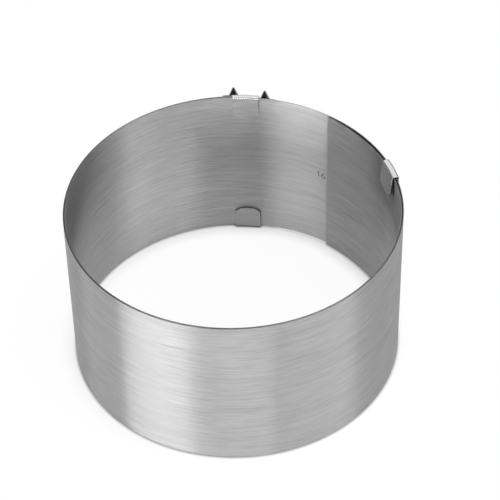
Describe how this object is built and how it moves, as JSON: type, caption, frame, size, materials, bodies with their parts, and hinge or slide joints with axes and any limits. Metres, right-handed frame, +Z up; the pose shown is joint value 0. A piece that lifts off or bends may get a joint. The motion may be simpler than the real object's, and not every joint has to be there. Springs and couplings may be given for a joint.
{
  "type": "adjustable cake ring",
  "caption": "Adjustable ring for setting or cutting cakes: a springy steel strip that overlaps itself, slides in C-shaped clips and is set by folded V grips at its back.",
  "frame": {"origin": "middle of the footprint of the whole, with its grips, on the surface that it stands on, at the smallest setting", "axes": "+Z up along the ring's axis, +Y straight back through the grips, +X to the right"},
  "size_m": [0.1628, 0.171, 0.0894],
  "materials": {
    "band_steel": "stainless strip, brushed along its length",
    "clip_steel": "thin stainless sheet, bent, brighter than the strip",
    "grip_steel": "thin stainless sheet, folded"
  },
  "bodies": {
    "stave_01": {"band_01": "band_steel"},
    "stave_02": {"band_02": "band_steel"},
    "stave_03": {"band_03": "band_steel", "guide_clip": "clip_steel"},
    "stave_04": {"band_04": "band_steel"},
    "stave_05": {"band_05": "band_steel"},
    "stave_06": {"band_06": "band_steel"},
    "stave_07": {"band_07": "band_steel"},
    "stave_08": {"band_08": "band_steel"},
    "stave_09": {"band_09": "band_steel"},
    "stave_10": {"band_10": "band_steel"},
    "stave_11": {"band_11": "band_steel"},
    "stave_12": {"band_12": "band_steel"},
    "stave_13": {"band_13": "band_steel"},
    "stave_14": {"band_14": "band_steel"},
    "stave_15": {"band_15": "band_steel"},
    "stave_16": {"band_16": "band_steel"},
    "stave_17": {"band_17": "band_steel"},
    "stave_18": {"band_18": "band_steel"},
    "stave_19": {"band_19": "band_steel"},
    "stave_20": {"band_20": "band_steel"},
    "stave_21": {"band_21": "band_steel"},
    "stave_22": {"band_22": "band_steel"},
    "stave_23": {"band_23": "band_steel"},
    "stave_24": {"band_24": "band_steel"},
    "stave_25": {"band_25": "band_steel"},
    "stave_26": {"band_26": "band_steel", "inner_grip": "grip_steel"},
    "stave_27": {"band_27": "band_steel"},
    "stave_28": {"band_28": "band_steel"},
    "stave_29": {"band_29": "band_steel"},
    "stave_30": {"band_30": "band_steel"},
    "stave_31": {"band_31": "band_steel"},
    "stave_32": {"band_32": "band_steel"},
    "stave_33": {"band_33": "band_steel"},
    "stave_34": {"band_34": "band_steel"},
    "stave_35": {"band_35": "band_steel"},
    "stave_36": {"band_36": "band_steel"},
    "stave_37": {"band_37": "band_steel"},
    "stave_38": {"band_38": "band_steel"},
    "stave_39": {"band_39": "band_steel"},
    "stave_40": {"band_40": "band_steel"},
    "stave_41": {"band_41": "band_steel"},
    "stave_42": {"band_42": "band_steel"},
    "stave_43": {"band_43": "band_steel"},
    "stave_44": {"band_44": "band_steel"},
    "stave_45": {"band_45": "band_steel"},
    "stave_46": {"band_46": "band_steel"},
    "stave_47": {"band_47": "band_steel"},
    "stave_48": {"band_48": "band_steel"},
    "stave_49": {"band_49": "band_steel"},
    "stave_50": {"band_50": "band_steel"},
    "stave_51": {"band_51": "band_steel"},
    "stave_52": {"band_52": "band_steel"},
    "stave_53": {"band_53": "band_steel", "end_clip": "clip_steel", "outer_grip": "grip_steel"}
  },
  "joints": [
    {"name": "size_adjust", "type": "hinge", "parent": "stave_26", "child": "stave_27", "pos_m": [0.026, 0.07256, 0.0447], "axis": [0, 0, 1], "range_deg": [0, 5.71]},
    {"name": "flex_01", "type": "hinge", "parent": "stave_02", "child": "stave_01", "pos_m": [0.06116, 0.04671, 0.0447], "axis": [0, 0, -1], "range_deg": [-0.05, 5.89]},
    {"name": "flex_02", "type": "hinge", "parent": "stave_03", "child": "stave_02", "pos_m": [0.07119, 0.03148, 0.0447], "axis": [0, 0, -1], "range_deg": [-0.05, 5.88]},
    {"name": "flex_03", "type": "hinge", "parent": "stave_04", "child": "stave_03", "pos_m": [0.07779, 0.01443, 0.0447], "axis": [0, 0, -1], "range_deg": [-0.05, 5.86]},
    {"name": "flex_04", "type": "hinge", "parent": "stave_05", "child": "stave_04", "pos_m": [0.08031, -0.00375, 0.0447], "axis": [0, 0, -1], "range_deg": [-0.05, 5.84]},
    {"name": "flex_05", "type": "hinge", "parent": "stave_06", "child": "stave_05", "pos_m": [0.07845, -0.02206, 0.0447], "axis": [0, 0, -1], "range_deg": [-0.05, 5.83]},
    {"name": "flex_06", "type": "hinge", "parent": "stave_07", "child": "stave_06", "pos_m": [0.07233, -0.03944, 0.0447], "axis": [0, 0, -1], "range_deg": [-0.05, 5.83]},
    {"name": "flex_07", "type": "hinge", "parent": "stave_08", "child": "stave_07", "pos_m": [0.06241, -0.05497, 0.0447], "axis": [0, 0, -1], "range_deg": [-0.05, 5.83]},
    {"name": "flex_08", "type": "hinge", "parent": "stave_09", "child": "stave_08", "pos_m": [0.0492, -0.06782, 0.0447], "axis": [0, 0, -1], "range_deg": [-0.05, 5.82]},
    {"name": "flex_09", "type": "hinge", "parent": "stave_10", "child": "stave_09", "pos_m": [0.03342, -0.07733, 0.0447], "axis": [0, 0, -1], "range_deg": [-0.05, 5.82]},
    {"name": "flex_10", "type": "hinge", "parent": "stave_11", "child": "stave_10", "pos_m": [0.01589, -0.083, 0.0447], "axis": [0, 0, -1], "range_deg": [-0.05, 5.82]},
    {"name": "flex_11", "type": "hinge", "parent": "stave_12", "child": "stave_11", "pos_m": [-0.00247, -0.08453, 0.0447], "axis": [0, 0, -1], "range_deg": [-0.05, 5.81]},
    {"name": "flex_12", "type": "hinge", "parent": "stave_13", "child": "stave_12", "pos_m": [-0.0207, -0.08184, 0.0447], "axis": [0, 0, -1], "range_deg": [-0.05, 5.81]},
    {"name": "flex_13", "type": "hinge", "parent": "stave_14", "child": "stave_13", "pos_m": [-0.03784, -0.07508, 0.0447], "axis": [0, 0, -1], "range_deg": [-0.05, 5.81]},
    {"name": "flex_14", "type": "hinge", "parent": "stave_15", "child": "stave_14", "pos_m": [-0.053, -0.0646, 0.0447], "axis": [0, 0, -1], "range_deg": [-0.05, 5.8]},
    {"name": "flex_15", "type": "hinge", "parent": "stave_16", "child": "stave_15", "pos_m": [-0.06538, -0.05095, 0.0447], "axis": [0, 0, -1], "range_deg": [-0.05, 5.8]},
    {"name": "flex_16", "type": "hinge", "parent": "stave_17", "child": "stave_16", "pos_m": [-0.07433, -0.03485, 0.0447], "axis": [0, 0, -1], "range_deg": [-0.05, 5.79]},
    {"name": "flex_17", "type": "hinge", "parent": "stave_18", "child": "stave_17", "pos_m": [-0.07939, -0.01713, 0.0447], "axis": [0, 0, -1], "range_deg": [-0.05, 5.79]},
    {"name": "flex_18", "type": "hinge", "parent": "stave_19", "child": "stave_18", "pos_m": [-0.0803, 0.00127, 0.0447], "axis": [0, 0, -1], "range_deg": [-0.05, 5.79]},
    {"name": "flex_19", "type": "hinge", "parent": "stave_20", "child": "stave_19", "pos_m": [-0.07701, 0.0194, 0.0447], "axis": [0, 0, -1], "range_deg": [-0.05, 5.78]},
    {"name": "flex_20", "type": "hinge", "parent": "stave_21", "child": "stave_20", "pos_m": [-0.06969, 0.03631, 0.0447], "axis": [0, 0, -1], "range_deg": [-0.05, 5.78]},
    {"name": "flex_21", "type": "hinge", "parent": "stave_22", "child": "stave_21", "pos_m": [-0.05873, 0.05112, 0.0447], "axis": [0, 0, -1], "range_deg": [-0.05, 5.78]},
    {"name": "flex_22", "type": "hinge", "parent": "stave_23", "child": "stave_22", "pos_m": [-0.04469, 0.06306, 0.0447], "axis": [0, 0, -1], "range_deg": [-0.05, 5.77]},
    {"name": "flex_23", "type": "hinge", "parent": "stave_24", "child": "stave_23", "pos_m": [-0.02832, 0.07151, 0.0447], "axis": [0, 0, -1], "range_deg": [-0.05, 5.77]},
    {"name": "flex_24", "type": "hinge", "parent": "stave_25", "child": "stave_24", "pos_m": [-0.01045, 0.07603, 0.0447], "axis": [0, 0, -1], "range_deg": [-0.05, 5.76]},
    {"name": "flex_25", "type": "hinge", "parent": "stave_26", "child": "stave_25", "pos_m": [0.00797, 0.07639, 0.0447], "axis": [0, 0, -1], "range_deg": [-0.05, 5.76]},
    {"name": "flex_27", "type": "hinge", "parent": "stave_27", "child": "stave_28", "pos_m": [0.04269, 0.06475, 0.0447], "axis": [0, 0, 1], "range_deg": [-0.05, 5.75]},
    {"name": "flex_28", "type": "hinge", "parent": "stave_28", "child": "stave_29", "pos_m": [0.05718, 0.05338, 0.0447], "axis": [0, 0, 1], "range_deg": [-0.05, 5.75]},
    {"name": "flex_29", "type": "hinge", "parent": "stave_29", "child": "stave_30", "pos_m": [0.06872, 0.03901, 0.0447], "axis": [0, 0, 1], "range_deg": [-0.05, 5.75]},
    {"name": "flex_30", "type": "hinge", "parent": "stave_30", "child": "stave_31", "pos_m": [0.07672, 0.02241, 0.0447], "axis": [0, 0, 1], "range_deg": [-0.05, 5.74]},
    {"name": "flex_31", "type": "hinge", "parent": "stave_31", "child": "stave_32", "pos_m": [0.08076, 0.00443, 0.0447], "axis": [0, 0, 1], "range_deg": [-0.05, 5.74]},
    {"name": "flex_32", "type": "hinge", "parent": "stave_32", "child": "stave_33", "pos_m": [0.08063, -0.01399, 0.0447], "axis": [0, 0, 1], "range_deg": [-0.05, 5.74]},
    {"name": "flex_33", "type": "hinge", "parent": "stave_33", "child": "stave_34", "pos_m": [0.07634, -0.03192, 0.0447], "axis": [0, 0, 1], "range_deg": [-0.05, 5.73]},
    {"name": "flex_34", "type": "hinge", "parent": "stave_34", "child": "stave_35", "pos_m": [0.06812, -0.04841, 0.0447], "axis": [0, 0, 1], "range_deg": [-0.05, 5.73]},
    {"name": "flex_35", "type": "hinge", "parent": "stave_35", "child": "stave_36", "pos_m": [0.05639, -0.06261, 0.0447], "axis": [0, 0, 1], "range_deg": [-0.05, 5.73]},
    {"name": "flex_36", "type": "hinge", "parent": "stave_36", "child": "stave_37", "pos_m": [0.04175, -0.07381, 0.0447], "axis": [0, 0, 1], "range_deg": [-0.05, 5.72]},
    {"name": "flex_37", "type": "hinge", "parent": "stave_37", "child": "stave_38", "pos_m": [0.02496, -0.08141, 0.0447], "axis": [0, 0, 1], "range_deg": [-0.05, 5.72]},
    {"name": "flex_38", "type": "hinge", "parent": "stave_38", "child": "stave_39", "pos_m": [0.0069, -0.08503, 0.0447], "axis": [0, 0, 1], "range_deg": [-0.05, 5.71]},
    {"name": "flex_39", "type": "hinge", "parent": "stave_39", "child": "stave_40", "pos_m": [-0.01152, -0.08449, 0.0447], "axis": [0, 0, 1], "range_deg": [-0.05, 5.71]},
    {"name": "flex_40", "type": "hinge", "parent": "stave_40", "child": "stave_41", "pos_m": [-0.02935, -0.07981, 0.0447], "axis": [0, 0, 1], "range_deg": [-0.05, 5.71]},
    {"name": "flex_41", "type": "hinge", "parent": "stave_41", "child": "stave_42", "pos_m": [-0.04566, -0.07123, 0.0447], "axis": [0, 0, 1], "range_deg": [-0.05, 5.7]},
    {"name": "flex_42", "type": "hinge", "parent": "stave_42", "child": "stave_43", "pos_m": [-0.05962, -0.0592, 0.0447], "axis": [0, 0, 1], "range_deg": [-0.05, 5.7]},
    {"name": "flex_43", "type": "hinge", "parent": "stave_43", "child": "stave_44", "pos_m": [-0.07051, -0.04434, 0.0447], "axis": [0, 0, 1], "range_deg": [-0.05, 5.7]},
    {"name": "flex_44", "type": "hinge", "parent": "stave_44", "child": "stave_45", "pos_m": [-0.07778, -0.02741, 0.0447], "axis": [0, 0, 1], "range_deg": [-0.05, 5.69]},
    {"name": "flex_45", "type": "hinge", "parent": "stave_45", "child": "stave_46", "pos_m": [-0.08105, -0.00927, 0.0447], "axis": [0, 0, 1], "range_deg": [-0.05, 5.69]},
    {"name": "flex_46", "type": "hinge", "parent": "stave_46", "child": "stave_47", "pos_m": [-0.08016, 0.00913, 0.0447], "axis": [0, 0, 1], "range_deg": [-0.05, 5.69]},
    {"name": "flex_47", "type": "hinge", "parent": "stave_47", "child": "stave_48", "pos_m": [-0.07515, 0.02687, 0.0447], "axis": [0, 0, 1], "range_deg": [-0.05, 5.68]},
    {"name": "flex_48", "type": "hinge", "parent": "stave_48", "child": "stave_49", "pos_m": [-0.06629, 0.04302, 0.0447], "axis": [0, 0, 1], "range_deg": [-0.05, 5.68]},
    {"name": "flex_49", "type": "hinge", "parent": "stave_49", "child": "stave_50", "pos_m": [-0.05402, 0.05677, 0.0447], "axis": [0, 0, 1], "range_deg": [-0.05, 5.68]},
    {"name": "flex_50", "type": "hinge", "parent": "stave_50", "child": "stave_51", "pos_m": [-0.03898, 0.06742, 0.0447], "axis": [0, 0, 1], "range_deg": [-0.05, 5.67]},
    {"name": "flex_51", "type": "hinge", "parent": "stave_51", "child": "stave_52", "pos_m": [-0.02193, 0.07441, 0.0447], "axis": [0, 0, 1], "range_deg": [-0.05, 5.67]},
    {"name": "flex_52", "type": "hinge", "parent": "stave_52", "child": "stave_53", "pos_m": [-0.00375, 0.0774, 0.0447], "axis": [0, 0, 1], "range_deg": [-0.05, 5.67]}
  ],
  "couplings": [
    {"joint": "flex_01", "follows": "size_adjust", "ratio": 1.0227},
    {"joint": "flex_02", "follows": "size_adjust", "ratio": 1.0215},
    {"joint": "flex_03", "follows": "size_adjust", "ratio": 1.0182},
    {"joint": "flex_04", "follows": "size_adjust", "ratio": 1.0152},
    {"joint": "flex_05", "follows": "size_adjust", "ratio": 1.0135},
    {"joint": "flex_06", "follows": "size_adjust", "ratio": 1.0128},
    {"joint": "flex_07", "follows": "size_adjust", "ratio": 1.0122},
    {"joint": "flex_08", "follows": "size_adjust", "ratio": 1.0116},
    {"joint": "flex_09", "follows": "size_adjust", "ratio": 1.0109},
    {"joint": "flex_10", "follows": "size_adjust", "ratio": 1.0103},
    {"joint": "flex_11", "follows": "size_adjust", "ratio": 1.0096},
    {"joint": "flex_12", "follows": "size_adjust", "ratio": 1.009},
    {"joint": "flex_13", "follows": "size_adjust", "ratio": 1.0083},
    {"joint": "flex_14", "follows": "size_adjust", "ratio": 1.0077},
    {"joint": "flex_15", "follows": "size_adjust", "ratio": 1.007},
    {"joint": "flex_16", "follows": "size_adjust", "ratio": 1.0064},
    {"joint": "flex_17", "follows": "size_adjust", "ratio": 1.0057},
    {"joint": "flex_18", "follows": "size_adjust", "ratio": 1.0051},
    {"joint": "flex_19", "follows": "size_adjust", "ratio": 1.0045},
    {"joint": "flex_20", "follows": "size_adjust", "ratio": 1.0038},
    {"joint": "flex_21", "follows": "size_adjust", "ratio": 1.0032},
    {"joint": "flex_22", "follows": "size_adjust", "ratio": 1.0025},
    {"joint": "flex_23", "follows": "size_adjust", "ratio": 1.0019},
    {"joint": "flex_24", "follows": "size_adjust", "ratio": 1.0013},
    {"joint": "flex_25", "follows": "size_adjust", "ratio": 1.0006},
    {"joint": "flex_27", "follows": "size_adjust", "ratio": 0.99936},
    {"joint": "flex_28", "follows": "size_adjust", "ratio": 0.99873},
    {"joint": "flex_29", "follows": "size_adjust", "ratio": 0.9981},
    {"joint": "flex_30", "follows": "size_adjust", "ratio": 0.99747},
    {"joint": "flex_31", "follows": "size_adjust", "ratio": 0.99683},
    {"joint": "flex_32", "follows": "size_adjust", "ratio": 0.9962},
    {"joint": "flex_33", "follows": "size_adjust", "ratio": 0.99557},
    {"joint": "flex_34", "follows": "size_adjust", "ratio": 0.99494},
    {"joint": "flex_35", "follows": "size_adjust", "ratio": 0.99431},
    {"joint": "flex_36", "follows": "size_adjust", "ratio": 0.99368},
    {"joint": "flex_37", "follows": "size_adjust", "ratio": 0.99306},
    {"joint": "flex_38", "follows": "size_adjust", "ratio": 0.99243},
    {"joint": "flex_39", "follows": "size_adjust", "ratio": 0.9918},
    {"joint": "flex_40", "follows": "size_adjust", "ratio": 0.99118},
    {"joint": "flex_41", "follows": "size_adjust", "ratio": 0.99055},
    {"joint": "flex_42", "follows": "size_adjust", "ratio": 0.98993},
    {"joint": "flex_43", "follows": "size_adjust", "ratio": 0.9893},
    {"joint": "flex_44", "follows": "size_adjust", "ratio": 0.98868},
    {"joint": "flex_45", "follows": "size_adjust", "ratio": 0.98806},
    {"joint": "flex_46", "follows": "size_adjust", "ratio": 0.98744},
    {"joint": "flex_47", "follows": "size_adjust", "ratio": 0.98682},
    {"joint": "flex_48", "follows": "size_adjust", "ratio": 0.9862},
    {"joint": "flex_49", "follows": "size_adjust", "ratio": 0.98558},
    {"joint": "flex_50", "follows": "size_adjust", "ratio": 0.98496},
    {"joint": "flex_51", "follows": "size_adjust", "ratio": 0.98434},
    {"joint": "flex_52", "follows": "size_adjust", "ratio": 0.98373}
  ]
}
